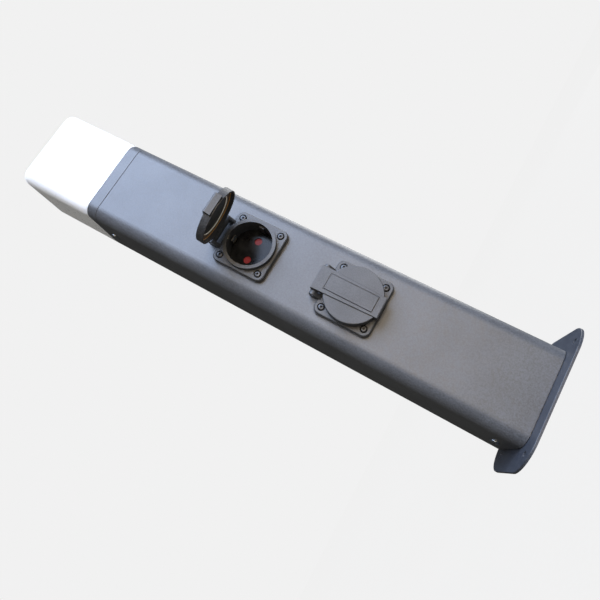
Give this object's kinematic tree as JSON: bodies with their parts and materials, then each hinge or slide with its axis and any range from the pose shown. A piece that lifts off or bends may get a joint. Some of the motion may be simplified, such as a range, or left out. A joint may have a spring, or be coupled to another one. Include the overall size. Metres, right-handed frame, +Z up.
{
  "type": "outdoor power post",
  "caption": "Rectangular outdoor power post on a base plate, with lidded earthed outlets on the front and an opal light head on top.",
  "frame": {"origin": "centre of the cable hole in the underside of the base plate, on the axis of the post", "axes": "+Z up the post, -Y out of the front face with the outlets, +X to the right seen from the front"},
  "size_m": [0.12, 0.1382, 0.5],
  "materials": {
    "powder_coat": "fine textured powder coat, anthracite",
    "zinc_steel": "bright zinc plated",
    "dark_screw": "black zinc plated",
    "spring_steel": "drawn spring wire",
    "nickel_strip": "nickel plated strip",
    "contact_brass": "plain brass",
    "opal_plastic": "opal, satin",
    "socket_plastic": "moulded, fine grain",
    "insert_plastic": "moulded, glossy",
    "red_plastic": "moulded",
    "black_rubber": "moulded",
    "amber_seal": "amber elastomer",
    "board_white": "white solder mask",
    "led_phosphor": "phosphor dome",
    "driver_shell": "moulded",
    "foam_pad": "adhesive foam",
    "terminal_grey": "moulded",
    "lead_sheath": "PVC sheath"
  },
  "bodies": {
    "post": {"base_plate": "powder_coat", "post_profile": "powder_coat", "top_collar": "powder_coat", "base_spigot": "zinc_steel", "base_screws": "zinc_steel", "collar_screws": "zinc_steel", "earth_stud": "zinc_steel", "terminal_rail": "zinc_steel", "rail_screws": "zinc_steel", "led_board_screws": "zinc_steel", "terminal_screws": "zinc_steel", "upper_carrier_screws": "zinc_steel", "lower_carrier_screws": "zinc_steel", "upper_hinge_pin": "zinc_steel", "lower_hinge_pin": "zinc_steel", "upper_flange_screws": "dark_screw", "lower_flange_screws": "dark_screw", "upper_shutter_spring": "spring_steel", "lower_shutter_spring": "spring_steel", "upper_earth_clip": "nickel_strip", "lower_earth_clip": "nickel_strip", "upper_contacts": "contact_brass", "lower_contacts": "contact_brass", "diffuser": "opal_plastic", "upper_socket_housing": "socket_plastic", "lower_socket_housing": "socket_plastic", "upper_socket_insert": "insert_plastic", "lower_socket_insert": "insert_plastic", "upper_contact_base": "insert_plastic", "lower_contact_base": "insert_plastic", "cable_grommet": "black_rubber", "diffuser_gasket": "black_rubber", "upper_flange_gasket": "black_rubber", "lower_flange_gasket": "black_rubber", "led_board": "board_white", "led_chips": "led_phosphor", "led_driver": "driver_shell", "driver_pad": "foam_pad", "terminal_block": "terminal_grey", "supply_lead": "lead_sheath", "socket_link_lead": "lead_sheath", "lamp_lead": "lead_sheath", "led_lead": "lead_sheath"},
    "upper_lid": {"upper_lid": "socket_plastic", "upper_lid_seal": "amber_seal"},
    "lower_lid": {"lower_lid": "socket_plastic", "lower_lid_seal": "amber_seal"},
    "upper_shutter": {"upper_shutter": "red_plastic"},
    "lower_shutter": {"lower_shutter": "red_plastic"}
  },
  "joints": [
    {"name": "upper_lid_hinge", "type": "hinge", "parent": "post", "child": "upper_lid", "pos_m": [0, -0.045, 0.2895], "axis": [-1, 0, 0], "range_deg": [-76, 34]},
    {"name": "upper_shutter_turn", "type": "hinge", "parent": "post", "child": "upper_shutter", "pos_m": [0, -0.029, 0.2595], "axis": [0, -1, 0], "range_deg": [0, 45], "stiffness_Nm_per_rad": 0.0008, "springref_deg": -11.46},
    {"name": "lower_lid_hinge", "type": "hinge", "parent": "post", "child": "lower_lid", "pos_m": [0, -0.045, 0.191], "axis": [-1, 0, 0], "range_deg": [0, 110]},
    {"name": "lower_shutter_turn", "type": "hinge", "parent": "post", "child": "lower_shutter", "pos_m": [0, -0.029, 0.161], "axis": [0, -1, 0], "range_deg": [0, 45], "stiffness_Nm_per_rad": 0.0008, "springref_deg": -11.46}
  ]
}
